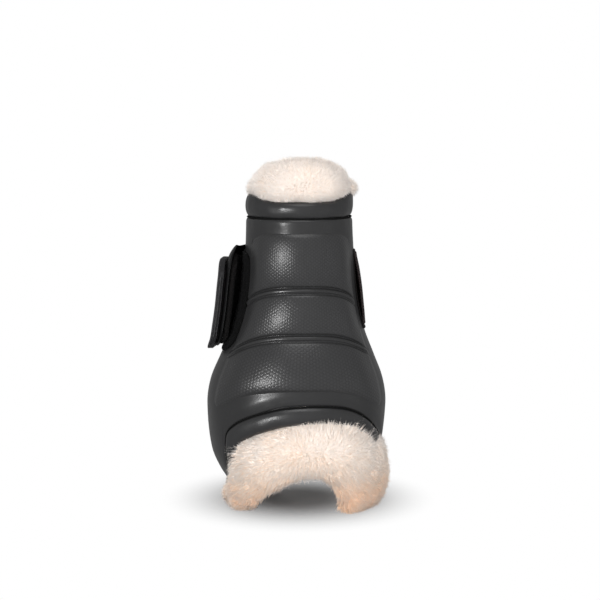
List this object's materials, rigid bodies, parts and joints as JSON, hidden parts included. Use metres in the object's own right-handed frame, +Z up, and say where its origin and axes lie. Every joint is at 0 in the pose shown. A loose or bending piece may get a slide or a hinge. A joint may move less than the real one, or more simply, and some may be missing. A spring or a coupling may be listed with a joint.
{
  "type": "open-front tendon boot",
  "caption": "Open-front horse tendon boot: moulded padded shell with sheepskin lining and collars, closed round the front by an elastic strap and a double hook-and-loop tab.",
  "frame": {"origin": "bottom centre of the bounding box, on the floor that the boot stands on", "axes": "+Z up along the leg, +Y towards the open front of the boot, +X towards the side where the elastic strap is sewn on"},
  "size_m": [0.128, 0.1154, 0.2442],
  "materials": {
    "shell_tpu": "satin moulded shell with a fine honeycomb grain on the raised panel",
    "gel_pad": "soft gel",
    "foam": "closed-cell foam",
    "sheepskin": "cream sheepskin pile, warmer at the tips near the floor",
    "collar_leather": "smooth soft synthetic leather, satin",
    "bar_leather": "black synthetic leather",
    "loop_pile": "black loop pile",
    "elastic_webbing": "very dark brown elastic webbing",
    "flap_leather": "black flap with a fuzzy loop face",
    "hook_tape": "black hook tape",
    "tab_rubber": "moulded rubber tab with a ribbed rim",
    "thread": "black thread"
  },
  "bodies": {
    "boot": {"outer_shell": "shell_tpu", "tendon_pad": "gel_pad", "foam_core": "foam", "sheepskin_lining": "sheepskin", "top_fleece_collar": "sheepskin", "bottom_fleece_collar": "sheepskin", "top_collar_roll": "collar_leather", "bottom_collar_roll": "collar_leather", "front_binding_left": "collar_leather", "front_binding_right": "collar_leather", "loop_panel": "loop_pile", "strap_anchor_bar": "bar_leather", "elastic_anchor_panel": "elastic_webbing", "top_collar_stitching": "thread", "bottom_collar_stitching": "thread", "strap_anchor_stitching": "thread"},
    "strap": {"elastic_strap": "elastic_webbing", "inner_closure_flap": "flap_leather", "inner_hook_pad": "hook_tape", "flap_stitching": "thread"},
    "tab": {"outer_elastic": "elastic_webbing", "closure_tab": "tab_rubber", "outer_hook_pad": "hook_tape", "tab_stitching": "thread"}
  },
  "joints": [
    {"name": "strap_fold", "type": "hinge", "parent": "boot", "child": "strap", "pos_m": [0.02798, 0.04257, 0.1525], "axis": [0, 0.0917, -0.9958], "range_deg": [0, 120]},
    {"name": "tab_fold", "type": "hinge", "parent": "strap", "child": "tab", "pos_m": [-0.01202, 0.05549, 0.1525], "axis": [0, 0.0402, -0.9992], "range_deg": [0, 90]}
  ]
}
